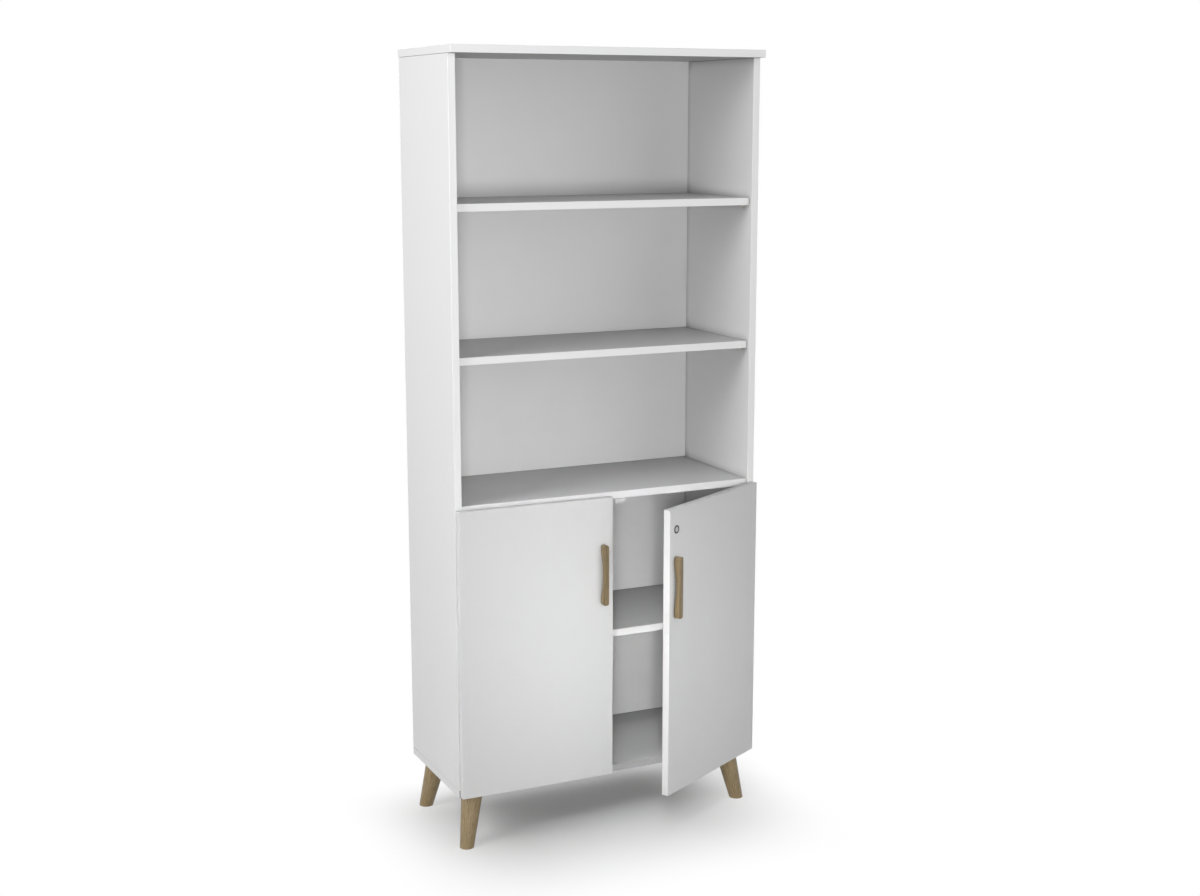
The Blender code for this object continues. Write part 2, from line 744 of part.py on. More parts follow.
def build_lock(door, frame):
    """Cam lock: body and nut fixed in the door, plug, cam and screw turning on the lock's axis."""
    drill(door, "right_lock_hole", lock_place(), lock_barrel_radius + gap, -door_thickness - overrun, overrun, frame,
          out_of_door, sides=24)
    tail = door_thickness + lock_length_behind_door
    profile = [(0.0, -tail), (lock_barrel_radius, -tail), (lock_barrel_radius, gap), (lock_rim_radius, gap),
               (lock_rim_radius, lock_rim_height * 0.6), (lock_rim_radius * 0.88, lock_rim_height),
               (0.0, lock_rim_height)]
    body = add_object("lock_body", turned_mesh("lock_body", profile, 32), "nickel_steel", lock_place(), frame,
                      out_of_door)
    drill(body, "lock_body_bore", lock_place(), lock_plug_radius + gap, -tail - overrun, lock_rim_height + overrun,
          frame, out_of_door, sides=24)
    nut_outline = arc((0.0, 0.0), lock_nut_radius, 0, 300, 5)
    nut = prism_mesh("lock_nut", nut_outline, 0.0, lock_nut_height)
    nut = add_object("lock_nut", nut, "zinc_steel", lock_place(door_thickness + gap), frame, into_cabinet)
    drill(nut, "lock_nut_bore", lock_place(door_thickness), lock_barrel_radius + gap, -overrun,
          lock_nut_height + 2 * overrun, frame, into_cabinet, sides=24)
    turning = add_empty("lock_axis", lock_place(), frame)
    front = lock_rim_height - lock_plug_recess
    plug_profile = cylinder_profile(lock_plug_radius, -tail, front)
    plug = add_object("lock_plug", turned_mesh("lock_plug", plug_profile, 24), "nickel_steel", (0, 0, 0), turning,
                      out_of_door)
    slot = box_mesh("key_slot", (key_slot_width, 2 * key_slot_depth, key_slot_height))
    cut(plug, add_object("key_slot", slot, None, (0.0, -front, 0.0), turning))
    tang_length = cam_thickness + gap
    tang = box_mesh("lock_tang", (2 * lock_tang_half, 2 * tang_length, 2 * lock_tang_half))
    join(plug, add_object("lock_tang", tang, None, (0.0, tail, 0.0), turning))
    thread = tail + tang_length
    drill(plug, "lock_thread_hole", (0.0, thread, 0.0), cam_screw_thread_radius + gap,
          -cam_screw_thread_length - gap, overrun, turning, into_cabinet, sides=12)
    build_cam(turning, tail)


def build_cam(turning, tail):
    """Cam on the plug's square tang, held by its screw. It points to the hinge side when unlocked."""
    near = tail + gap
    length = cam_reach - cam_half_width
    outline = arc((length, 0.0), cam_half_width, -90, 90, 6)
    spread = math.degrees(math.asin(cam_half_width / cam_boss_radius))
    outline += arc((0.0, 0.0), cam_boss_radius, spread, 360 - spread, 14)
    cam = prism_mesh("lock_cam", outline, 0.0, cam_thickness)
    cam = add_object("lock_cam", cam, "zinc_steel", (0.0, near, 0.0), turning, into_cabinet)
    hole_side = 2 * (lock_tang_half + gap)
    hole = box_mesh("cam_hole", (hole_side, 4 * cam_thickness, hole_side))
    cut(cam, add_object("cam_hole", hole, None, (0.0, near, 0.0), turning))
    head = near + cam_thickness + gap
    thread_end = -cam_screw_thread_length
    profile = [(0.0, thread_end), (cam_screw_thread_radius, thread_end), (cam_screw_thread_radius, 0.0),
               (cam_screw_radius, 0.0), (cam_screw_radius, cam_screw_height * 0.6),
               (cam_screw_radius * 0.7, cam_screw_height), (0.0, cam_screw_height)]
    add_object("lock_cam_screw", turned_mesh("lock_cam_screw", profile, 16), "zinc_steel", (0.0, head, 0.0), turning,
               into_cabinet)


def build_strike():
    """Angle under the fixed shelf, whose lip the cam catches behind."""
    under = fixed_shelf_top - board - gap
    x = centre_gap / 2 + lock_edge_distance
    cam_front = front_y + door_front + door_thickness + lock_length_behind_door
    lip_rear = cam_front - gap
    size = (2 * strike_half_width, strike_depth, strike_thickness)
    place = (x, lip_rear - strike_thickness + strike_depth / 2, under - strike_thickness / 2)
    strike = add_object("lock_strike", box_mesh("lock_strike", size), "zinc_steel", place)
    lip_size = (2 * strike_half_width, strike_thickness, strike_lip_height)
    lip_place = (x, lip_rear - strike_thickness / 2, under - strike_lip_height / 2)
    lip = add_object("lock_strike_lip", box_mesh("lock_strike_lip", lip_size), None, lip_place)
    join(strike, lip)
    for step in (-1, 1):
        hole_place = (x + step * strike_half_width / 2, place[1] + strike_depth / 6, under - strike_thickness)
        drill(strike, f"lock_strike_hole_{step}", hole_place, strike_hole_radius, -overrun, strike_thickness + overrun,
              sides=12)


def build_doors():
    """Both doors on their axes, with all that rides on them."""
    for hand, sign in side_signs().items():
        angle = door_rest_open if sign > 0 else 0.0
        frame = add_empty(hand + "_door_axis", (sign * axis_x, front_y - axis_depth, 0.0), angle=angle)
        door = build_door(hand, sign, frame)
        build_handle(hand, sign, frame)
        build_handle_screws(hand, sign, frame)
        for which, level in hinge_levels().items():
            build_hinge_cup(hand, which, sign, frame, level)
            build_hinge_pin(hand, which, sign, frame, level)
            build_hinge_arm(hand, which, sign, level)
            build_hinge_plate(hand, which, sign, level)
        if sign > 0:
            build_lock(door, frame)


clear_scene()
materials = {name: make_material(name) for name in finishes}
build_side_panels()
build_bottom_panel()
build_top_panel()
build_back_panel()
build_shelves()
build_shelf_pins()
build_legs()
build_leg_bolts()
build_doors()
build_strike()
bpy.context.view_layer.update()
print("carcass front plane y", round(front_y, 5), "hinge axis x", round(axis_x, 5), "overall height", round(top_top, 4))
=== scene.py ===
# %% [markdown]
# # A white office cabinet on wooden legs
#
# This lesson dresses a tall cabinet: three open bays over a cupboard with two doors, wooden bar
# handles and four splayed legs. The solid model already has the right sizes and is loaded as a fixed
# frame. What is left is what the eye judges first: the finishes, the turned and carved wood, the
# small fittings, the light and the camera.

import json
import math

import bmesh
import bpy
from mathutils import Matrix, Vector


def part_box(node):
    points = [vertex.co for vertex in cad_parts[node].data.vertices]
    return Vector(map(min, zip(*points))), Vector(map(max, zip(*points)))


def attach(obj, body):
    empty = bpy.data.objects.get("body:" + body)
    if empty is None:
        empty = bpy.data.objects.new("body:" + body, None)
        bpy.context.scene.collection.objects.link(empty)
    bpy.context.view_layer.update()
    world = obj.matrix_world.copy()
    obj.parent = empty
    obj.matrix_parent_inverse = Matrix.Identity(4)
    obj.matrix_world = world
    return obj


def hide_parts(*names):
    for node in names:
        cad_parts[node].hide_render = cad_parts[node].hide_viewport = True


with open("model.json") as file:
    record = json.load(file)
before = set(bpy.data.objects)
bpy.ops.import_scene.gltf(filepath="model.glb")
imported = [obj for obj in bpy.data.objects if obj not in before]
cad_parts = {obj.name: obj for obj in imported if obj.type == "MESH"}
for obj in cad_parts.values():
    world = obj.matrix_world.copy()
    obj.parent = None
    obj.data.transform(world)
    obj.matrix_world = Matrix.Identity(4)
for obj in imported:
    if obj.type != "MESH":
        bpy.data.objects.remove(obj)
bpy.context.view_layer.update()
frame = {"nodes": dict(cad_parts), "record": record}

# %% [markdown]
# Everything here is in metres with +Z up, the front towards -Y. Small sizes are easier to read in
# millimetres, so one constant turns them into metres.

# %% Units and places
mm = 0.001
carcass_low, carcass_high = (Vector(corner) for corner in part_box("bottom_panel"))
print("carcass front plane at y =", round(carcass_low.y / mm, 2), "mm")

# %% [markdown]
# ## Colours and nodes
#
# A colour picked from a picture is an sRGB value, but shaders add up light, so they need it linear.
# One function turns a hex value into linear red, green and blue, and another makes it darker by a
# share. A third adds a shader node, sets what it is given and connects its inputs, which keeps each
# material down to a few lines.

# %% Colour helpers
def linear(hex_colour):
    """sRGB hex value to linear RGBA."""
    channels = [int(hex_colour[i : i + 2], 16) / 255 for i in (1, 3, 5)]
    values = [c / 12.92 if c <= 0.04045 else ((c + 0.055) / 1.055) ** 2.4 for c in channels]
    return (*values, 1.0)


def shade(hex_colour, share):
    """A linear colour times a share, still opaque."""
    return (*(share * channel for channel in linear(hex_colour)[:3]), 1.0)


print("mid grey #808080 is", round(linear("#808080")[0], 3), "in linear light")

# %% Node helpers
def connect(tree, made, **inputs):
    """Sets or connects the inputs of a node by name, or by place where the name is i and a number."""
    for name, value in inputs.items():
        by_place = name[0] == "i" and name[1:].isdigit()
        socket = made.inputs[int(name[1:])] if by_place else made.inputs[name.replace("_", " ")]
        if isinstance(value, bpy.types.NodeSocket):
            tree.links.new(value, socket)
        else:
            socket.default_value = value


def node(tree, kind, settings=None, **inputs):
    """Adds a node, sets its properties, and sets or connects its inputs."""
    made = tree.nodes.new(kind)
    for name, value in (settings or {}).items():
        setattr(made, name, value)
    connect(tree, made, **inputs)
    return made


def new_material(name):
    """Node material with its tree and its Principled shader."""
    material = bpy.data.materials.new(name)
    material.use_nodes = True
    tree = material.node_tree
    return material, tree, tree.nodes["Principled BSDF"]


blend, stack = {"data_type": "RGBA"}, {"data_type": "RGBA", "blend_type": "MULTIPLY"}
print("colours are mixed with", blend, "and laid over each other with", stack)

# %% [markdown]
# ## White melamine board
#
# The carcass, shelves and doors are particleboard faced with melamine: paper soaked in resin and
# pressed against a finely pebbled steel plate. To the eye it is a neutral white with a satin sheen
# that breaks up at the scale of the pebbles, about half a millimetre. Noise stands for the pebbles.
# They are too fine to show from across a room, so a second, wider noise lets the sheen drift a
# little, as it does on a real sheet.
#
# The upper faces of the shelves and of the cupboard's floor are painted darker towards the back, as
# painted shade deep in the bays. Generated coordinates run from 0 at a board's front to 1 at its
# back, and the normal tells the upper face from the others.

# %% Faces that look one way, and painted shade towards the back
up, down, front = (0.0, 0.0, 1.0), (0.0, 0.0, -1.0), (0.0, -1.0, 0.0)


def looks_towards(tree, coordinates, way):
    """One on the faces whose normal points a given way, zero elsewhere."""
    along = node(tree, "ShaderNodeVectorMath", {"operation": "DOT_PRODUCT"},
                 i0=coordinates.outputs["Normal"], i1=way)
    return node(tree, "ShaderNodeMapRange", Value=along.outputs["Value"],
                From_Min=0.8, From_Max=0.95).outputs["Result"]


def painted_back_shade(tree, coordinates, share):
    """Painted shade: a factor that darkens a board's upper face towards its back."""
    top = looks_towards(tree, coordinates, up)
    along = node(tree, "ShaderNodeSeparateXYZ", Vector=coordinates.outputs["Generated"])
    depth = node(tree, "ShaderNodeMapRange", Value=along.outputs["Y"], From_Min=0.1, From_Max=0.95,
                 To_Max=-share)
    return node(tree, "ShaderNodeMath", {"operation": "MULTIPLY_ADD"}, i0=top,
                i1=depth.outputs["Result"], i2=1.0).outputs[0]


# Painted shade: the share of the colour taken off at the back of a shelf's upper face.
shelf_back_shade = 0.44
print("dust takes up to", shelf_back_shade, "of the light at the back of a shelf")

# %% [markdown]
# The raw edges of such boards are hidden by edging, a 1 mm strip of ABS glued on and trimmed. It
# comes from another roll than the faces, so it is a shade brighter and smoother. The side of a board
# that a point lies on is known from its normal: the part of the normal that points along the
# edging's own direction says where the strip is.
#
# In seams, corners and close to other parts the colour is painted darker, as painted shade. The
# Ambient Occlusion node finds such places: it looks a few centimetres round each point and says how
# much of that space is open. The edging gets little of this painted shade.
#
# The top's underside is painted grey, as painted shade under the top board. It shows as a dark band
# under the front edge.

# %% Melamine
pebble_size, drift_size, shade_reach = 0.6 * mm, 180 * mm, 30 * mm
board_roughness = 0.42


def melamine(name, face_colour, edging_colour, edging_way=front, back_shade=0.0, painted_underside=None):
    """Satin white resin face pressed with fine pebbles, smoother edging on the edges, painted shade."""
    material, tree, shader = new_material(name)
    coordinates = node(tree, "ShaderNodeTexCoord")
    place = coordinates.outputs["Object"]
    pebbles = node(tree, "ShaderNodeTexNoise", Vector=place, Scale=1 / pebble_size, Detail=2.0)
    drift = node(tree, "ShaderNodeTexNoise", Vector=place, Scale=1 / drift_size, Detail=3.0)

    along = node(tree, "ShaderNodeVectorMath", {"operation": "DOT_PRODUCT"},
                 i0=coordinates.outputs["Normal"], i1=edging_way)
    amount = node(tree, "ShaderNodeMath", {"operation": "ABSOLUTE"}, i0=along.outputs["Value"])
    edging = node(tree, "ShaderNodeMapRange", Value=amount.outputs[0],
                  From_Min=0.65, From_Max=0.75).outputs["Result"]
    sheen = node(tree, "ShaderNodeMapRange", Value=drift.outputs["Fac"],
                 To_Min=board_roughness - 0.04, To_Max=board_roughness + 0.06)
    smoother = node(tree, "ShaderNodeMath", {"operation": "MULTIPLY_ADD"}, i0=edging, i1=-0.08,
                    i2=sheen.outputs["Result"])

    board = node(tree, "ShaderNodeMix", blend, Factor=drift.outputs["Fac"], A=linear(face_colour),
                 B=shade(face_colour, 0.985)).outputs["Result"]
    # Painted shade: the underside is painted grey.
    if painted_underside:
        board = node(tree, "ShaderNodeMix", blend, Factor=looks_towards(tree, coordinates, down),
                     A=board, B=linear(painted_underside)).outputs["Result"]
    board = node(tree, "ShaderNodeMix", blend, Factor=edging, A=board,
                 B=linear(edging_colour)).outputs["Result"]
    # Painted shade: upper faces darker towards the back.
    if back_shade:
        board = node(tree, "ShaderNodeMix", stack, Factor=1.0, A=board,
                     B=painted_back_shade(tree, coordinates, back_shade)).outputs["Result"]

    # Painted shade: darker where the Ambient Occlusion node finds seams, corners and parts close by.
    occlusion = node(tree, "ShaderNodeAmbientOcclusion", {"samples": 6}, Distance=shade_reach)
    painted_corner_shade = node(tree, "ShaderNodeMapRange", Value=occlusion.outputs["AO"], From_Min=0.15, From_Max=0.8,
                 To_Min=0.35, To_Max=1.0)
    corner_shade_weight = node(tree, "ShaderNodeMath", {"operation": "MULTIPLY_ADD"}, i0=edging, i1=-0.8, i2=1.0)
    corner_shaded_board = node(tree, "ShaderNodeMix", stack, Factor=corner_shade_weight.outputs[0], A=board,
                 B=painted_corner_shade.outputs["Result"])
    relief = node(tree, "ShaderNodeBump", Height=pebbles.outputs["Fac"], Strength=0.12,
                  Distance=0.05 * mm)
    connect(tree, shader, Base_Color=corner_shaded_board.outputs["Result"], Roughness=smoother.outputs[0],
            Normal=relief.outputs["Normal"], IOR=1.5)
    return material


face_white, edging_white = "#D9D9D9", "#EEEEEE"
melamine_face = melamine("melamine_pressed_satin", face_white, edging_white)
# Painted shade on the underside of the top.
top_face = melamine("melamine_painted_underside_shade", face_white, edging_white, painted_underside="#ACACAC")
# Painted shade towards the backs of the shelves' upper faces.
shelf_face = melamine("melamine_shelf", face_white, edging_white, back_shade=shelf_back_shade)
print(melamine_face.name, "albedo", round(linear(face_white)[0], 3))

# %% [markdown]
# The doors have edging on all four edges, upright and level, while a shelf has it on the front edge
# only. Their sheet and their edging are darker than the boards', as painted shade. The way across
# the door turns with the door, and the right one stands ajar. The bottom board's front edge lies
# behind the doors, and its strip is painted grey as painted shade.

# %% Doors and bottom board
door_ajar = math.radians(29.25)
across_left_door = (1.0, 0.0, 0.0)
across_right_door = (math.cos(door_ajar), math.sin(door_ajar), 0.0)
# Painted shade: the doors' white and edging are darker copies of the boards' white.
door_white_shaded, door_edging_shaded, bottom_edging_painted_shade = "#D5D5D5", "#D1D1D1", "#B0B0B0"
left_door_face = melamine("melamine_left_door", door_white_shaded, door_edging_shaded, across_left_door)
right_door_face = melamine("melamine_right_door", door_white_shaded, door_edging_shaded, across_right_door)
# Painted shade: the grey strip on the bottom board's front edge.
bottom_face = melamine("melamine_bottom_board", face_white, bottom_edging_painted_shade, back_shade=shelf_back_shade)
print("right door ajar by", round(math.degrees(door_ajar), 2), "degrees")

# %% [markdown]
# The back is a thin sheet of high-density fibreboard printed white on one side. It is a little
# lighter and more matt than the melamine, with the faint weave of the press screen, about 2 mm wide.

# %% Printed fibreboard
def printed_fibreboard(name, colour):
    """Thin white-printed fibreboard, matt, with a fine screen texture."""
    material, tree, shader = new_material(name)
    place = node(tree, "ShaderNodeTexCoord").outputs["Object"]
    screen = node(tree, "ShaderNodeTexVoronoi", Vector=place, Scale=1 / (2.2 * mm))
    cloud = node(tree, "ShaderNodeTexNoise", Vector=place, Scale=1 / (60 * mm), Detail=4.0)
    tint = node(tree, "ShaderNodeMix", blend, Factor=cloud.outputs["Fac"], A=linear(colour),
                B=shade(colour, 0.96))
    relief = node(tree, "ShaderNodeBump", Height=screen.outputs["Distance"], Strength=0.2,
                  Distance=0.08 * mm)
    connect(tree, shader, Base_Color=tint.outputs["Result"], Normal=relief.outputs["Normal"],
            Roughness=0.6, IOR=1.5)
    return material


fibreboard = printed_fibreboard("fibreboard_printed_white", "#E0E0E0")
print(fibreboard.name)

# %% [markdown]
# ## Stained ash
#
# The legs and handles are a ring-porous hardwood, stained grey-brown and sealed matt. Its grain runs
# along the piece: bands of early wood 2 to 4 mm wide, uneven streaks of stain between them, and short
# dark pores, all drawn out along the grain. Each wooden piece below is first made upright, with its
# grain along Z, and remembers where each of its points was then in an attribute called grain. The
# material reads that, so the grain follows a piece that is tilted later. Shrinking Z stretches the
# noise into grain.

# %% Stained wood
band_pitch, streak_width, pore_width, bend_length = 3.4 * mm, 4.5 * mm, 1.1 * mm, 22 * mm
bend_reach = (5 * mm, 5 * mm, 0.0)
along_grain = (1.0, 1.0, 0.03)
wave_length = math.tau / 20  # of a wave texture whose scale is 1


def stained_wood(name, light, mid, dark, seed):
    """Matt stained hardwood with growth bands and pores along the upright axis of its grain."""
    material, tree, shader = new_material(name)
    place = node(tree, "ShaderNodeAttribute", {"attribute_name": "grain"}).outputs["Vector"]
    grain = node(tree, "ShaderNodeMapping", Vector=place, Location=(seed, 2 * seed, 3 * seed),
                 Scale=along_grain).outputs["Vector"]
    bend = node(tree, "ShaderNodeTexNoise", Vector=grain, Scale=1 / bend_length, Detail=2.0)
    bent = node(tree, "ShaderNodeVectorMath", {"operation": "MULTIPLY_ADD"},
                i0=bend.outputs["Color"], i1=bend_reach, i2=grain).outputs["Vector"]
    bands = node(tree, "ShaderNodeTexWave", {"wave_type": "BANDS", "bands_direction": "X"},
                 Vector=bent, Scale=wave_length / band_pitch, Distortion=4.0, Detail=3.0,
                 Detail_Scale=1.2)
    streaks = node(tree, "ShaderNodeTexNoise", Vector=bent, Scale=1 / streak_width, Detail=5.0,
                   Roughness=0.65)
    stain = node(tree, "ShaderNodeMapRange", Value=streaks.outputs["Fac"], From_Min=0.3,
                 From_Max=0.7, To_Max=0.75)
    figure = node(tree, "ShaderNodeMath", {"operation": "MULTIPLY_ADD"}, i0=bands.outputs["Fac"],
                  i1=0.25, i2=stain.outputs["Result"])
    ramp = node(tree, "ShaderNodeValToRGB", Fac=figure.outputs[0])
    ramp.color_ramp.elements[0].color = linear(dark)
    ramp.color_ramp.elements[1].color = linear(light)
    ramp.color_ramp.elements.new(0.45).color = linear(mid)

    pores = node(tree, "ShaderNodeTexNoise", Vector=grain, Scale=1 / pore_width, Detail=3.0,
                 Roughness=0.6)
    specks = node(tree, "ShaderNodeMapRange", Value=pores.outputs["Fac"], From_Min=0.36,
                  From_Max=0.56)
    colour = node(tree, "ShaderNodeMix", stack, Factor=0.35, A=ramp.outputs["Color"],
                  B=specks.outputs["Result"])
    relief = node(tree, "ShaderNodeBump", Height=pores.outputs["Fac"], Strength=0.35,
                  Distance=0.12 * mm)
    connect(tree, shader, Base_Color=colour.outputs["Result"], Normal=relief.outputs["Normal"],
            Roughness=0.42, IOR=1.48)
    return material


leg_wood = stained_wood("ash_stained_matt", "#A18F6C", "#93805E", "#7B6948", 0.31)
# Painted shade: the handles use a darker copy of the legs' stain.
handle_wood_shaded = stained_wood("ash_stained_matt_handle_shaded", "#8A7859", "#7C6B4C", "#67583D", 1.47)
print(leg_wood.name, "bands", band_pitch / mm, "mm apart")

# %% [markdown]
# ## Metals of the fittings
#
# The hinges and screws are pressed steel with a thin plated coat. Nickel is bright, a little warm,
# and shows fine rubbing lines; zinc is bluer and cloudier. Both are metals, so their colour is in the
# reflection and the refractive index is left alone. The lock is cast in zinc and plated a darker
# nickel, and the key has rubbed its plug a little brighter. Its brass wafers are painted near black,
# as painted shade in the keyhole.

# %% Metals
def fitting_metal(name, colour, roughness, cloud_size):
    """Metal of a fitting, whose sheen varies in soft clouds."""
    material, tree, shader = new_material(name)
    place = node(tree, "ShaderNodeTexCoord").outputs["Object"]
    clouds = node(tree, "ShaderNodeTexNoise", Vector=place, Scale=1 / cloud_size, Detail=4.0)
    rub = node(tree, "ShaderNodeTexNoise", Vector=place, Scale=1 / (0.5 * mm), Detail=2.0)
    sheen = node(tree, "ShaderNodeMapRange", Value=clouds.outputs["Fac"], To_Min=roughness - 0.08,
                 To_Max=roughness + 0.12)
    relief = node(tree, "ShaderNodeBump", Height=rub.outputs["Fac"], Strength=0.1,
                  Distance=0.02 * mm)
    connect(tree, shader, Base_Color=linear(colour), Metallic=1.0,
            Roughness=sheen.outputs["Result"], Normal=relief.outputs["Normal"])
    return material


nickel = fitting_metal("steel_nickel_plated", "#BDB9B0", 0.30, 4 * mm)
zinc = fitting_metal("steel_zinc_plated", "#A9AEB4", 0.42, 2.5 * mm)
rim_metal = fitting_metal("zinc_cast_dark_nickel", "#424242", 0.34, 5 * mm)
plug_metal = fitting_metal("zinc_cast_worn_nickel", "#BEBEBD", 0.38, 3 * mm)
# Painted shade: the wafers are near black for the shade inside the keyhole.
wafer_keyhole_shade = fitting_metal("brass_painted_keyhole_shade", "#3B3325", 0.45, 2 * mm)
print(nickel.name, zinc.name, rim_metal.name, plug_metal.name, wafer_keyhole_shade.name)

# %% [markdown]
# The strike under the fixed shelf is powder-coated white, so that it hardly shows against the
# boards. The powder melts in the oven into a skin with a faint orange peel.

# %% Powder coat of the strike
def powder_coat(name, colour):
    """Baked powder on pressed steel, satin, with a faint orange peel."""
    material, tree, shader = new_material(name)
    place = node(tree, "ShaderNodeTexCoord").outputs["Object"]
    peel = node(tree, "ShaderNodeTexNoise", Vector=place, Scale=1 / (1.5 * mm), Detail=1.0)
    tone = node(tree, "ShaderNodeMix", blend, Factor=peel.outputs["Fac"], A=linear(colour),
                B=shade(colour, 0.97))
    relief = node(tree, "ShaderNodeBump", Height=peel.outputs["Fac"], Strength=0.25,
                  Distance=0.1 * mm)
    connect(tree, shader, Base_Color=tone.outputs["Result"], Normal=relief.outputs["Normal"],
            Roughness=0.38)
    return material


strike_paint = powder_coat("steel_powder_coated_white", "#D9D9D9")
print(strike_paint.name)

# %% [markdown]
# ## Finishes on the solids
#
# A solid whose shape is right only needs its finish. The record of the solids says which kind of
# material each is made of. A few boards have copies of the melamine with painted shade, and the
# strike has its own white paint.

# %% Give each solid its finish
finishes = {
    "white_board": melamine_face,
    "white_back": fibreboard,
    "oiled_wood": leg_wood,
    "nickel_steel": nickel,
    "zinc_steel": zinc,
}
shaded_copies_and_own_finishes = {
    "left_door": left_door_face,
    "right_door": right_door_face,
    "bottom_panel": bottom_face,
    "top_panel": top_face,
    "lock_strike": strike_paint,
}
for shelf in ("upper_shelf", "middle_shelf", "fixed_shelf", "cupboard_shelf"):
    shaded_copies_and_own_finishes[shelf] = shelf_face
slot_of = {entry["node"]: entry["material_slot"] for entry in frame["record"]["subparts"]}
for name, solid in frame["nodes"].items():
    solid.data.materials.clear()
    solid.data.materials.append(shaded_copies_and_own_finishes.get(name, finishes[slot_of[name]]))
print("finished", len(slot_of), "solids, of which", len(shaded_copies_and_own_finishes), "in a way of their own")

# %% [markdown]
# ## Finer pieces
#
# The solids are made of flat facets with few sides. Where a round or carved form comes close to the
# eye, a finer piece stands in for the solid, with the same size and place and more sides. A few small
# helpers do what every such piece needs: close a mesh and shade it, spin a profile, carve one mesh
# with another, and set the result in its place on the body that carries it. A piece is moved by
# moving its points, so that its own axes stay level and its box is its true size.

# %% Close and shade a mesh
crease_angle = math.radians(35.0)


def shaded(mesh):
    """The mesh shaded smooth except across sharp edges."""
    mesh.shade_smooth()
    mesh.set_sharp_from_angle(angle=crease_angle)
    return mesh


def closed_mesh(bm, name):
    """Shaded mesh with its faces pointing out."""
    bmesh.ops.recalc_face_normals(bm, faces=bm.faces)
    mesh = bpy.data.meshes.new(name)
    bm.to_mesh(mesh)
    bm.free()
    return shaded(mesh)


def skin(bm, rings):
    """Quads between each ring of points and the next one."""
    for low, high in zip(rings, rings[1:]):
        for i in range(len(low)):
            j = (i + 1) % len(low)
            bm.faces.new((low[i], low[j], high[j], high[i]))


print("edges sharper than", round(math.degrees(crease_angle)), "degrees stay sharp")

# %% Spin and extrude
def spun_mesh(name, profile, sides, closed=False):
    """Turned form about local Z from (radius, height) points in millimetres."""
    bm = bmesh.new()
    points = [bm.verts.new((radius * mm, 0.0, height * mm)) for radius, height in profile]
    pairs = list(zip(points, points[1:])) + ([(points[-1], points[0])] if closed else [])
    lines = [bm.edges.new(pair) for pair in pairs]
    bmesh.ops.spin(bm, geom=points + lines, axis=(0, 0, 1), cent=(0, 0, 0), steps=sides,
                   angle=math.tau, use_merge=True, use_duplicate=False)
    bmesh.ops.remove_doubles(bm, verts=bm.verts, dist=0.001 * mm)
    return closed_mesh(bm, name)


def extruded(name, outline, low, high):
    """Prism over an outline in local X and Y, in millimetres."""
    bm = bmesh.new()
    face = bm.faces.new([bm.verts.new((x * mm, y * mm, low * mm)) for x, y in outline])
    grown = bmesh.ops.extrude_face_region(bm, geom=[face])
    moved = [item for item in grown["geom"] if isinstance(item, bmesh.types.BMVert)]
    bmesh.ops.translate(bm, vec=(0.0, 0.0, (high - low) * mm), verts=moved)
    return closed_mesh(bm, name)


print("profiles and outlines are in millimetres, one of which is", mm, "m")

# %% Carve and join
def carved(mesh, tool, operation="DIFFERENCE"):
    """The mesh after an exact Boolean with a tool mesh."""
    target = bpy.data.objects.new("carve_target", mesh)
    cutter = bpy.data.objects.new("carve_tool", tool)
    for helper in (target, cutter):
        bpy.context.scene.collection.objects.link(helper)
    modifier = target.modifiers.new("carve", "BOOLEAN")
    modifier.operation = operation
    modifier.solver = "EXACT"
    modifier.object = cutter
    bpy.context.view_layer.update()
    finished = target.evaluated_get(bpy.context.evaluated_depsgraph_get())
    result = bpy.data.meshes.new_from_object(finished)
    for helper in (target, cutter):
        bpy.data.objects.remove(helper, do_unlink=True)
    result.name = mesh.name + "_carved"
    return shaded(result)


def joined(name, mesh, places):
    """One mesh made of copies of another at several places."""
    bm = bmesh.new()
    for place in places:
        copy = mesh.copy()
        copy.transform(place)
        bm.from_mesh(copy)
        bpy.data.meshes.remove(copy)
    return closed_mesh(bm, name)


# %% Set a piece in its place
def add_piece(name, mesh, material, body, place, stands_for=None):
    """Sets a mesh in its place as a piece that rides on a body and may stand for a solid."""
    grain = mesh.attributes.new("grain", "FLOAT_VECTOR", "POINT")
    grain.data.foreach_set("vector", [value for vertex in mesh.vertices for value in vertex.co])
    mesh.transform(place)
    mesh.materials.clear()
    mesh.materials.append(material)
    piece = bpy.data.objects.new(name, mesh)
    bpy.context.scene.collection.objects.link(piece)
    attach(piece, body)
    if stands_for:
        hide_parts(stands_for)


def turned_box(name, angle):
    """Lowest and highest corner of a solid, measured along a door that stands open by an angle."""
    back = Matrix.Rotation(-angle, 3, "Z")
    points = [back @ vertex.co for vertex in frame["nodes"][name].data.vertices]
    low = Vector([min(point[i] for point in points) for i in range(3)])
    high = Vector([max(point[i] for point in points) for i in range(3)])
    return low, high


left_low, left_high = turned_box("left_handle", 0.0)
print("left handle", [round(size / mm, 1) for size in left_high - left_low])

# %% [markdown]
# ## Legs
#
# Each leg is turned between centres on a lathe, tapered towards the floor, and then sawn at a slant
# at both ends so that it stands splayed outwards. A cone cut by two level planes is the same form.
# Its side lines are straight, so each corner of the mesh is found by asking where a side line meets
# the level of the board or of the floor. The rims get a small round, as from sandpaper.

# %% Legs
leg_top_radius, leg_foot_radius = 26.8 * mm, 17.2 * mm
leg_top_inset, leg_foot_inset = (50.0 * mm, 43.5 * mm), (25.0 * mm, 19.5 * mm)
leg_clearance, leg_rounding = 0.3 * mm, 1.2 * mm


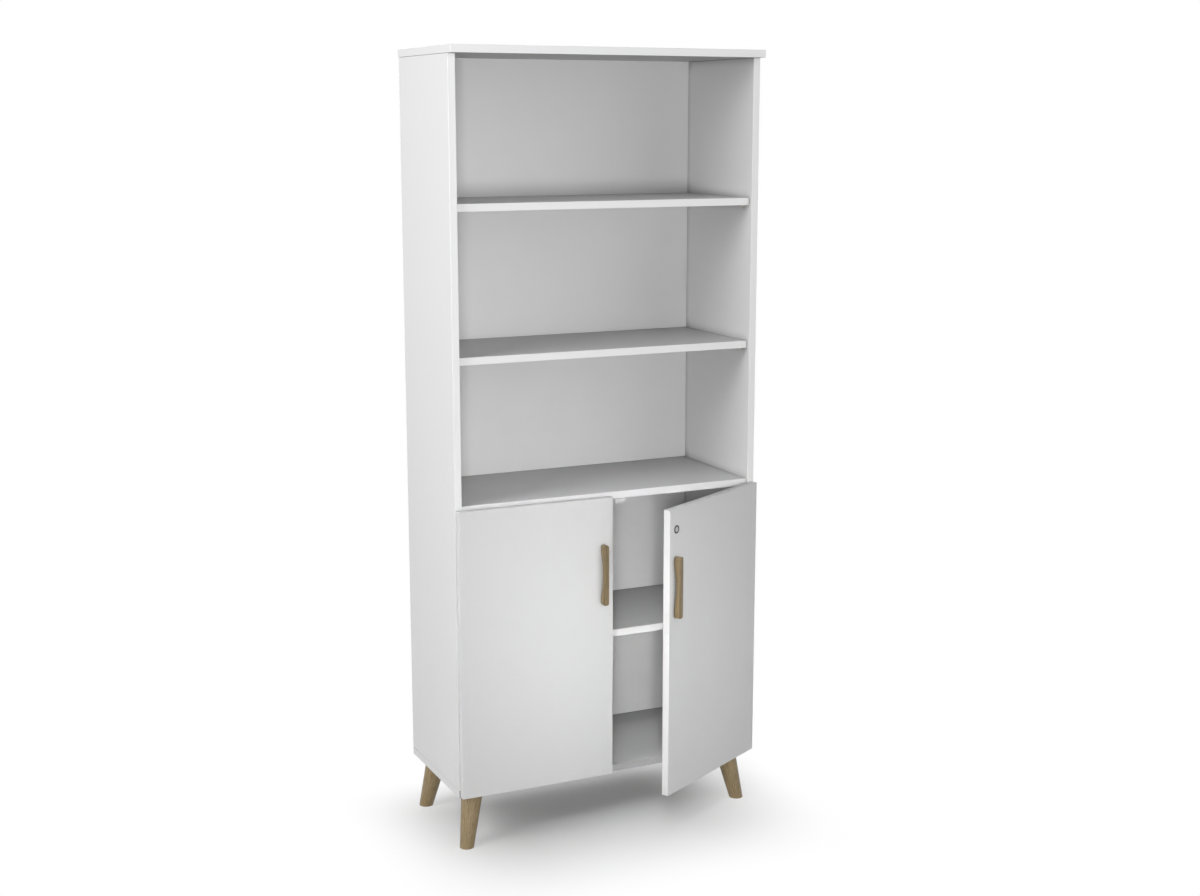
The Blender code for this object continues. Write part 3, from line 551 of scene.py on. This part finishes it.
def leg_mesh(name, foot, top, sides=72):
    """Tapered leg with its foot at the origin and its axis along local Z, and where it stands."""
    axis = top - foot
    turn = Vector((0.0, 0.0, 1.0)).rotation_difference(axis)
    taper = (leg_top_radius - leg_foot_radius) / axis.length
    bm = bmesh.new()
    rings = []
    for level in (0.0, axis.z):
        ring = []
        for i in range(sides):
            angle = math.tau * i / sides
            out = Vector((math.cos(angle), math.sin(angle), 0.0))
            lift = (turn @ out).z
            along = (level - lift * leg_foot_radius) / (axis.z / axis.length + lift * taper)
            radius = leg_foot_radius + taper * along
            ring.append(bm.verts.new(out * radius + Vector((0.0, 0.0, along))))
        rings.append(ring)
    skin(bm, rings)
    caps = [bm.faces.new(ring) for ring in rings]
    rims = [edge for cap in caps for edge in cap.edges]
    bmesh.ops.bevel(bm, geom=rims, offset=leg_rounding, segments=4, profile=0.5, affect="EDGES")
    return closed_mesh(bm, name), Matrix.Translation(foot) @ turn.to_matrix().to_4x4()


for side, side_sign in (("left", -1), ("right", 1)):
    for row, row_sign, row_y in (("front", -1, carcass_low.y), ("rear", 1, carcass_high.y)):
        corner = Vector((carcass_high.x * side_sign, row_y, carcass_low.z))
        top_step = Vector((side_sign * leg_top_inset[0], row_sign * leg_top_inset[1], leg_clearance))
        foot_step = Vector((side_sign * leg_foot_inset[0], row_sign * leg_foot_inset[1], corner.z))
        top, foot = corner - top_step, corner - foot_step
        name = f"{row}_{side}_leg"
        mesh, place = leg_mesh(name + "_turned", foot, top)
        add_piece(name + "_turned", mesh, leg_wood, "carcass", place, name)
        print(name, "leans", round(math.degrees((top - foot).angle(Vector(up))), 1), "degrees")

# %% [markdown]
# ## Handles
#
# The handles are wooden bars with rounded ends. Their backs are scooped out for the fingers, deeper
# on the side that faces the hinge. A cutter in the shape of an arch would do it, but it leaves a hard
# line where it comes out. Here the bar is built from rings, one above another from the door outwards.
# The rings near the back are lifted by the depth of the scoop at each point, so the surface stays one
# even net of quads and the rounded edge follows the scoop.

# %% Handle outline and scoop
handle_length, handle_width, handle_depth = 150.0 * mm, 15.0 * mm, 17.0 * mm
handle_corner, handle_edge = 5.5 * mm, 1.4 * mm
scoop_length, scoop_depth, scoop_depth_at_edge = 112.0 * mm, 12.0 * mm, 5.0 * mm


def handle_side_points(steps=48, corner_steps=8):
    """Right side of the bar's outline from the bottom up: place and outward way of each point."""
    points = []
    centre_x, centre_z = handle_width / 2 - handle_corner, handle_length / 2 - handle_corner
    for sign, start in ((-1, -90.0), (1, 0.0)):
        for i in range(corner_steps + 1):
            angle = math.radians(start + 90.0 * i / corner_steps)
            way = Vector((math.cos(angle), math.sin(angle)))
            points.append((Vector((centre_x, sign * centre_z)) + handle_corner * way, way))
        if sign < 0:
            for i in range(1, steps):
                z = -centre_z + 2 * centre_z * i / steps
                points.append((Vector((handle_width / 2, z)), Vector((1.0, 0.0))))
    return points


def scoop(x, z, hinge_side):
    """Depth of the scoop at a point of the back; the hinge side is -1 or 1 along x."""
    middle = (scoop_depth + scoop_depth_at_edge) / 2
    depth = middle + hinge_side * x / handle_width * (scoop_depth - scoop_depth_at_edge)
    half = scoop_length / 2
    radius = (half * half + depth * depth) / (2 * depth)
    return max(0.0, depth - radius + math.sqrt(radius * radius - z * z)) if abs(z) < half else 0.0


print("outline points", 2 * len(handle_side_points()))

# %% Handles
def handle_mesh(name, hinge_side, edge_steps=4):
    """Bar along local Z whose back lies at y = 0 and whose front faces -Y."""
    right = handle_side_points()
    left = [(Vector((-place.x, place.y)), Vector((-way.x, way.y))) for place, way in reversed(right)]
    turns = [math.radians(90.0 * i / edge_steps) for i in range(edge_steps + 1)]
    levels = [(handle_edge * (1 - math.cos(t)), handle_edge * (1 - math.sin(t)), True) for t in turns]
    levels += [(handle_depth - out, inset, False) for out, inset, _ in reversed(levels)]
    bm = bmesh.new()
    rings = []
    for out, inset, at_back in levels:
        ring = []
        for place, way in right + left:
            point = place - inset * way
            lift = scoop(point.x, point.y, hinge_side) if at_back else 0.0
            ring.append(bm.verts.new((point.x, -(out + lift), point.y)))
        rings.append(ring)
    skin(bm, rings)
    count = len(rings[0])
    for ring in (rings[0], rings[-1]):
        for i in range(count // 2 - 1):
            bm.faces.new((ring[i], ring[i + 1], ring[count - 2 - i], ring[count - 1 - i]))
    return closed_mesh(bm, name)


for side, angle, hinge_side in (("left", 0.0, -1), ("right", door_ajar, 1)):
    low, high = turned_box(side + "_handle", angle)
    middle = Vector(((low.x + high.x) / 2, high.y, (low.z + high.z) / 2))
    place = Matrix.Rotation(angle, 4, "Z") @ Matrix.Translation(middle)
    name = side + "_handle_bar"
    mesh = handle_mesh(name, hinge_side)
    add_piece(name, mesh, handle_wood_shaded, side + "_leaf", place, side + "_handle")
    print(side, "handle quads", len(mesh.polygons))

# %% [markdown]
# ## Lock
#
# The cam lock is a die-cast cylinder pushed through the door from the front. Its rim is slightly
# dished and polished, and a thread behind the door takes the nut. The plug inside it carries the key
# slot, which is bent once so that only its own key goes in. Both are lathe forms, so a spun profile
# gives them, and the slot is carved out afterwards. Behind the slot lie the brass wafers that the key
# moves; they are painted near black, as painted shade that makes the keyhole look dark.
#
# The lock's measures are plain millimetres, as the profiles take them. Heights are measured from the
# door's face outwards.

# %% Lock body
rim_height, bore_radius, tube_radius = 1.8, 6.5, 8.0
thread_root, thread_pitch, thread_end = 7.55, 1.0, -18.6
lock_low, lock_high = turned_box("lock_body", door_ajar)
face_y = lock_low.y + rim_height * mm
lock_middle = Vector(((lock_low.x + lock_high.x) / 2, face_y, (lock_low.z + lock_high.z) / 2))
out_of_door = Matrix.Rotation(math.radians(90.0), 4, "X")
lock_place = Matrix.Rotation(door_ajar, 4, "Z") @ Matrix.Translation(lock_middle) @ out_of_door
lock_tail = (lock_high.y - lock_middle.y) / mm
thread = []
height = -lock_tail + 0.4
while height < thread_end:
    for radius, share in ((thread_root, 0.0), (tube_radius, 0.25), (tube_radius, 0.45), (thread_root, 0.7)):
        thread.append((radius, height + share * thread_pitch))
    height += thread_pitch
rim = [(tube_radius, -18.0), (tube_radius, 0.3), (9.85, 0.3), (10.0, 0.45), (10.0, 0.9), (9.8, 1.35),
       (9.4, 1.65), (8.8, rim_height), (7.6, 1.75), (6.9, 1.5), (bore_radius, 1.1)]
lock_profile = [(bore_radius, -lock_tail), (7.4, -lock_tail)] + thread + rim
body_mesh = spun_mesh("lock_rim", lock_profile, 96, closed=True)
add_piece("lock_rim", body_mesh, rim_metal, "right_leaf", lock_place, "lock_body")
print("lock reaches", round(lock_tail, 1), "mm behind the door's face")

# %% Plug with its key slot
plug_front, plug_radius, slot_floor = rim_height - 0.4, 6.2, -12.0
tang_half = 2.6
tang_length = (turned_box("lock_plug", door_ajar)[1].y - lock_middle.y) / mm
plug_profile = [(0.0, -lock_tail), (plug_radius, -lock_tail), (plug_radius, plug_front - 0.5),
                (6.0, plug_front - 0.15), (5.6, plug_front), (0.0, plug_front)]
slot_outline = [(-1.2, -4.3), (1.2, -4.3), (1.2, -1.3), (2.1, -0.5), (2.1, 0.7), (1.2, 1.5),
                (1.2, 4.3), (-1.2, 4.3), (-1.2, 1.4), (-0.5, 0.7), (-0.5, -0.2), (-1.2, -0.9)]


def bar_outline(half_width, half_height):
    """Four corners of a rectangle about the origin, in millimetres."""
    return [(-half_width, -half_height), (half_width, -half_height), (half_width, half_height),
            (-half_width, half_height)]


plug_mesh = spun_mesh("lock_plug_face", plug_profile, 72)
plug_mesh = carved(plug_mesh, extruded("key_slot", slot_outline, slot_floor, rim_height + 2.2))
tang = extruded("plug_tang", bar_outline(tang_half, tang_half), -tang_length, -lock_tail + 1.0)
plug_mesh = carved(plug_mesh, tang, "UNION")
add_piece("lock_plug_face", plug_mesh, plug_metal, "lock", lock_place, "lock_plug")
print("tang ends", round(tang_length, 1), "mm behind the door's face")

# %% Wafers
wafer_depths = (1.6, 4.0, 6.4, 8.8)
wafer = extruded("wafer", bar_outline(0.85, 3.8), 0.0, 0.7)
places = [Matrix.Translation((0.0, 0.0, -depth * mm)) for depth in wafer_depths]
wafers = joined("lock_wafer_stack", wafer, places)
# Painted shade: the wafers' near-black colour stands for the shade in the keyhole.
add_piece("lock_wafers", wafers, wafer_keyhole_shade, "lock", lock_place)
print("wafers", len(wafer_depths))

# %% [markdown]
# ## Screws of the hinges and the strike
#
# The hinge plates are screwed to the side boards, and two more screws on each arm set and clamp it.
# They have pan heads with a cross recess. A head is a spun dome, and the recess is a cross that
# narrows towards its bottom, carved out of it. One mesh is made for each size and shared out by
# copying.

# %% Cross-recess heads
def cross_head(name, radius, height, sides=36):
    """Pan head above z = 0 with a tapered cross recess, in millimetres."""
    profile = [(0.0, 0.0), (radius, 0.0), (radius, 0.25 * height), (0.93 * radius, 0.6 * height),
               (0.72 * radius, 0.88 * height), (0.35 * radius, height), (0.0, height)]
    arm, half = 0.56 * radius, 0.13 * radius
    plus = [(half, half), (half, arm), (-half, arm), (-half, half), (-arm, half), (-arm, -half),
            (-half, -half), (-half, -arm), (half, -arm), (half, -half), (arm, -half), (arm, half)]
    bm = bmesh.new()
    rings = [[bm.verts.new((x * share * mm, y * share * mm, z * mm)) for x, y in plus]
             for share, z in ((0.45, 0.15 * height), (1.06, 1.1 * height))]
    skin(bm, rings)
    for ring in rings:
        bm.faces.new(ring)
    return carved(spun_mesh(name, profile, sides), closed_mesh(bm, name + "_recess"))


def add_heads(name, head, places, material):
    """Copies of a head at several places, joined into one piece on the carcass."""
    heads = joined(name + "_heads", head, places)
    add_piece(name, heads, material, "carcass", Matrix())


plate_head = cross_head("plate_screw_head", 3.9, 2.0)
arm_head = cross_head("arm_screw_head", 2.9, 1.0)
strike_head = cross_head("strike_screw_head", 3.6, 1.6)
print("head faces", len(plate_head.polygons), len(arm_head.polygons), len(strike_head.polygons))

# %% Hinge screws
plate_thickness, plate_screw_step = 2.6 * mm, 16.0 * mm
arm_length, arm_thickness, arm_screw_shares = 46.0 * mm, 1.15 * mm, (0.42, 0.80)
for side, side_sign in (("left", -1), ("right", 1)):
    inwards = Matrix.Rotation(math.radians(-90.0 * side_sign), 4, "Y")
    for level in ("lower", "upper"):
        hinge = f"{side}_{level}_hinge"
        plate_low, plate_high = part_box(hinge + "_plate")
        arm_low, arm_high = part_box(hinge + "_arm")
        middle_z = (plate_low[2] + plate_high[2]) / 2
        plate_y = (plate_low[1] + plate_high[1]) / 2
        board_x = side_sign * max(abs(plate_low[0]), abs(plate_high[0]))
        plate_x = board_x - side_sign * plate_thickness
        places = [Matrix.Translation((plate_x, plate_y, middle_z + step * plate_screw_step)) @ inwards
                  for step in (-1, 1)]
        add_heads(hinge + "_plate_screws", plate_head, places, zinc)
        arm_x = side_sign * (min(abs(arm_low[0]), abs(arm_high[0])) + arm_thickness)
        arm_start = arm_high[1] - arm_length
        places = [Matrix.Translation((arm_x, arm_start + arm_length * share, middle_z)) @ inwards
                  for share in arm_screw_shares]
        add_heads(hinge + "_arm_screws", arm_head, places, zinc)
        print(hinge, "arm screws at x", round(arm_x / mm, 1), "plate back at x", round(board_x / mm, 1))

# %% [markdown]
# The strike is held by two screws, a sixth of its depth behind its middle, where its flange is.

# %% Strike screws
strike_thickness = 1.8 * mm
strike_low, strike_high = (Vector(corner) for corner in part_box("lock_strike"))
strike_middle, strike_size = (strike_low + strike_high) / 2, strike_high - strike_low
downwards = Matrix.Rotation(math.radians(180.0), 4, "X")
screw_y, screw_z = strike_middle.y + strike_size.y / 6, strike_high.z - strike_thickness
places = [Matrix.Translation((strike_middle.x + step * strike_size.x / 4, screw_y, screw_z)) @ downwards
          for step in (-1, 1)]
add_heads("lock_strike_screws", strike_head, places, strike_paint)
print("strike", [round(size / mm, 1) for size in strike_size], "mm")

# %% [markdown]
# ## Nails of the back
#
# The back is a thin sheet laid over the rear edges of the boards and nailed every 150 mm or so. The
# heads are flat, and they are driven in until they stand proud of the sheet by a fraction of a
# millimetre.

# %% Back nails
nail_profile = [(0.0, -0.4), (1.6, -0.4), (1.75, -0.1), (1.75, 0.0), (1.5, 0.12), (0.9, 0.18),
                (0.0, 0.2)]
nail = spun_mesh("nail_head", nail_profile, 20)
row_count, column_count, edge_inset = 12, 6, 8.0 * mm
back_low, back_high = (Vector(corner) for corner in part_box("back_panel"))
fixed_low, fixed_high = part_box("fixed_shelf")


def spread(low, high, count):
    """Evenly spaced places between two edges, set in from both."""
    return [low + edge_inset + (high - low - 2 * edge_inset) * i / (count - 1) for i in range(count)]


rows, columns = spread(back_low.z, back_high.z, row_count), spread(back_low.x, back_high.x, column_count)
spots = [(x, z) for z in rows for x in (columns[0], columns[-1])]
for level in (rows[0], (fixed_low[2] + fixed_high[2]) / 2):
    spots += [(x, level) for x in columns[1:-1]]
rearwards = Matrix.Rotation(math.radians(-90.0), 4, "X")
places = [Matrix.Translation((x, back_high.y, z)) @ rearwards for x, z in spots]
add_heads("back_panel_nails", nail, places, zinc)
print("nails", len(places))

# %% [markdown]
# ## Stage, light and camera
#
# The cabinet stands on a pale floor in plain, soft studio light, against white. A photographer's
# white sweep is lit so that it goes white away from the object and keeps only the soft shadow under
# it. The floor does the same here: it is pale paint near the cabinet, and further out, only for what
# the camera or a shiny surface sees, it turns to plain white. The change follows the shape of the
# shadow, which reaches furthest towards the front.
#
# A pale floor also throws a lot of light up, which would flatten the undersides of the boards. A
# photographer lays black cloth just outside the picture to stop that. Here the light that bounces
# off the floor sees a darker paint than the camera does.

# %% Floor paint
white = (1.0, 1.0, 1.0, 1.0)
seen_paint, bounced_paint = "#CDCDCD", "#A4A4A4"
shadow_shift = 16 * mm
shadow_aside, shadow_front, shadow_rear = (180 * mm, 590 * mm), (100 * mm, -465 * mm), (155 * mm, 430 * mm)


def white_rays(tree):
    """One where a ray comes from the camera, from gloss or through glass."""
    path = node(tree, "ShaderNodeLightPath")
    seen = node(tree, "ShaderNodeMath", {"operation": "MAXIMUM"},
                i0=path.outputs["Is Camera Ray"], i1=path.outputs["Is Glossy Ray"])
    return node(tree, "ShaderNodeMath", {"operation": "MAXIMUM"}, i0=seen.outputs[0],
                i1=path.outputs["Is Transmission Ray"]).outputs[0]


def floor_material():
    """Pale paint that keeps the shadow near the cabinet and is seen as white further out."""
    material, tree, shader = new_material("floor_pale_paint")
    tree.nodes.remove(shader)
    coordinates = node(tree, "ShaderNodeTexCoord")
    place = node(tree, "ShaderNodeSeparateXYZ", Vector=coordinates.outputs["Object"])
    shifted = node(tree, "ShaderNodeMath", {"operation": "ADD"}, i0=place.outputs["X"],
                   i1=shadow_shift)
    aside = node(tree, "ShaderNodeMath", {"operation": "ABSOLUTE"}, i0=shifted.outputs[0])
    kept = 1.0
    for distance, (start, end) in ((place.outputs["Y"], shadow_front), (place.outputs["Y"], shadow_rear),
                                   (aside.outputs[0], shadow_aside)):
        share = node(tree, "ShaderNodeMapRange", {"interpolation_type": "SMOOTHSTEP"}, Value=distance,
                     From_Min=start, From_Max=end, To_Min=1.0, To_Max=0.0)
        kept = node(tree, "ShaderNodeMath", {"operation": "MULTIPLY"}, i0=kept,
                    i1=share.outputs["Result"]).outputs[0]
    away = node(tree, "ShaderNodeMath", {"operation": "SUBTRACT"}, i0=1.0, i1=kept)
    factor = node(tree, "ShaderNodeMath", {"operation": "MULTIPLY"}, i0=away.outputs[0],
                  i1=white_rays(tree))
    bounced = node(tree, "ShaderNodeLightPath").outputs["Is Diffuse Ray"]
    colour = node(tree, "ShaderNodeMix", blend, Factor=bounced, A=linear(seen_paint),
                  B=linear(bounced_paint))
    paint = node(tree, "ShaderNodeBsdfDiffuse", Color=colour.outputs["Result"])
    glow = node(tree, "ShaderNodeEmission", Color=white, Strength=1.0)
    mixed = node(tree, "ShaderNodeMixShader", Fac=factor.outputs[0], i1=paint.outputs[0],
                 i2=glow.outputs[0])
    connect(tree, tree.nodes["Material Output"], Surface=mixed.outputs[0])
    return material


print("the camera sees", seen_paint, "and bounced light sees", bounced_paint)

# %% Floor
floor_size, floor_gap = 14.0, 0.5 * mm
half = floor_size / 2
corners = [(-half, -half, 0), (half, -half, 0), (half, half, 0), (-half, half, 0)]
floor_mesh = bpy.data.meshes.new("floor")
floor_mesh.from_pydata(corners, [], [(0, 1, 2, 3)])
floor_mesh.materials.append(floor_material())
floor = bpy.data.objects.new("floor", floor_mesh)
floor.location.z = -floor_gap
bpy.context.scene.collection.objects.link(floor)
print("floor", floor_size, "m wide")

# %% [markdown]
# The world lights nothing here, because the lamps below are easier to aim. The camera and shiny
# surfaces see it as plain white, like the far floor.

# %% World
world = bpy.data.worlds.new("studio")
bpy.context.scene.world = world
world.use_nodes = True
tree = world.node_tree
tree.nodes.clear()
ambient = node(tree, "ShaderNodeBackground", Color=white, Strength=0.0)
backdrop = node(tree, "ShaderNodeBackground", Color=white, Strength=1.0)
mixed = node(tree, "ShaderNodeMixShader", Fac=white_rays(tree), i1=ambient.outputs[0],
             i2=backdrop.outputs[0])
node(tree, "ShaderNodeOutputWorld", Surface=mixed.outputs[0])
print("world strength", ambient.inputs["Strength"].default_value)

# %% [markdown]
# A large lamp from the left gives the side its brightness, and one beside the camera looks into the
# open bays. The cupboard shows only through the gap beside the ajar door, so two small lamps behind
# grids reach into it: a low one for its back, and a high one for the tops of its boards. Three very
# wide lamps stand for the white walls of the studio. The one from behind also draws the soft shadow
# in front.

# %% Lamps
def area_lamp(name, place, target, size, power, beam=180.0):
    """Square soft lamp that faces a point, with a grid in front of it where its beam is narrower."""
    data = bpy.data.lights.new(name, "AREA")
    data.size = size
    data.energy = power
    data.spread = math.radians(beam)
    lamp = bpy.data.objects.new(name, data)
    lamp.location = place
    lamp.rotation_euler = (Vector(target) - Vector(place)).to_track_quat("-Z", "Y").to_euler()
    bpy.context.scene.collection.objects.link(lamp)


def soft_sun(name, towards, power, angle):
    """Very wide distant lamp; towards points from the cabinet to the light."""
    data = bpy.data.lights.new(name, "SUN")
    data.energy = power
    data.angle = math.radians(angle)
    lamp = bpy.data.objects.new(name, data)
    lamp.rotation_euler = Vector(towards).to_track_quat("Z", "Y").to_euler()
    bpy.context.scene.collection.objects.link(lamp)


area_lamp("front_fill", (-1.70, -3.60, 1.4), (0.0, 0.0, 1.0), size=0.6, power=64.0)
area_lamp("cupboard_fill", (-1.60, -3.70, 1.25), (0.10, 0.0, 0.47), size=0.4, power=0.36, beam=15.0)
area_lamp("cupboard_high", (-1.10, -2.30, 3.3), (0.06, -0.10, 0.42), size=0.6, power=0.42, beam=13.0)
area_lamp("left_key", (-3.2, -0.8, 2.6), (-0.4, 0.0, 1.4), size=1.6, power=72.0)
soft_sun("left_dome", (-1.0, 0.25, 0.2), power=0.85, angle=50)
soft_sun("right_dome", (0.6, -0.8, 0.15), power=1.02, angle=50)
soft_sun("rear_dome", (0.15, 0.75, 0.62), power=0.8, angle=60)

# %% [markdown]
# The camera was solved from the photograph together with the cabinet's sizes: a lens of 52 mm, a
# little below the top of the cabinet, turned 25 degrees from straight on and tipped down 11. Its
# place is measured from the middle of the carcass's front edge, at the underside of the bottom board.

# %% Camera
image_width, focal_in_pixels = 1200, 1726.73
camera_aside, camera_away, camera_up = 1763.8 * mm, 3683.5 * mm, 1601.7 * mm
tipped_down, turned_right = math.radians(10.788), math.radians(25.25)
camera_data = bpy.data.cameras.new("camera")
camera_data.sensor_fit = "HORIZONTAL"
camera_data.sensor_width = 36.0
camera_data.lens = focal_in_pixels / image_width * camera_data.sensor_width
camera_data.clip_end = 100.0
camera = bpy.data.objects.new("camera", camera_data)
camera.location = (-camera_aside, carcass_low.y - camera_away, carcass_low.z + camera_up)
camera.rotation_euler = (math.radians(90.0) - tipped_down, 0.0, -turned_right)
bpy.context.scene.collection.objects.link(camera)
bpy.context.scene.camera = camera
bpy.context.scene.view_settings.view_transform = "Standard"
print("lens", round(camera_data.lens, 2), "mm at", [round(value, 3) for value in camera.location])
